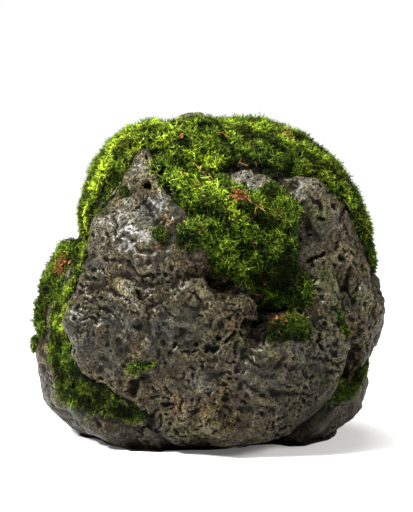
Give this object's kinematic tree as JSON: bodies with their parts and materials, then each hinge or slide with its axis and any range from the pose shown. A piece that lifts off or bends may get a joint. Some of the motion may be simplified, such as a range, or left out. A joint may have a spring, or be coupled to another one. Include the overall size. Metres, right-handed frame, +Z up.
{
  "type": "mossy rock",
  "caption": "Weathered, pitted boulder of dark volcanic stone with beds and cushions of green moss growing over its crown and down its hollows.",
  "frame": {"origin": "on the ground, under the middle of the whole object's outline seen from above", "axes": "+Z up, -Y the front, which the large bare slab faces, +X to the right seen from the front"},
  "size_m": [0.2842, 0.2136, 0.2588],
  "materials": {
    "stone": "rough, pitted, weathered",
    "moss_mid": "soft living moss, mid green",
    "moss_bright": "soft living moss, yellow green",
    "moss_dark": "soft living moss, dark green"
  },
  "bodies": {
    "root": {"rock": "stone", "moss_crown": "moss_mid", "moss_cascade": "moss_mid", "moss_ledge": "moss_mid", "moss_foot": "moss_mid", "moss_gully": "moss_bright", "moss_shoulder": "moss_bright", "moss_knob": "moss_bright", "moss_pit_high": "moss_dark", "moss_pit_low": "moss_dark", "moss_crack": "moss_dark", "moss_seam": "moss_dark"}
  },
  "joints": []
}
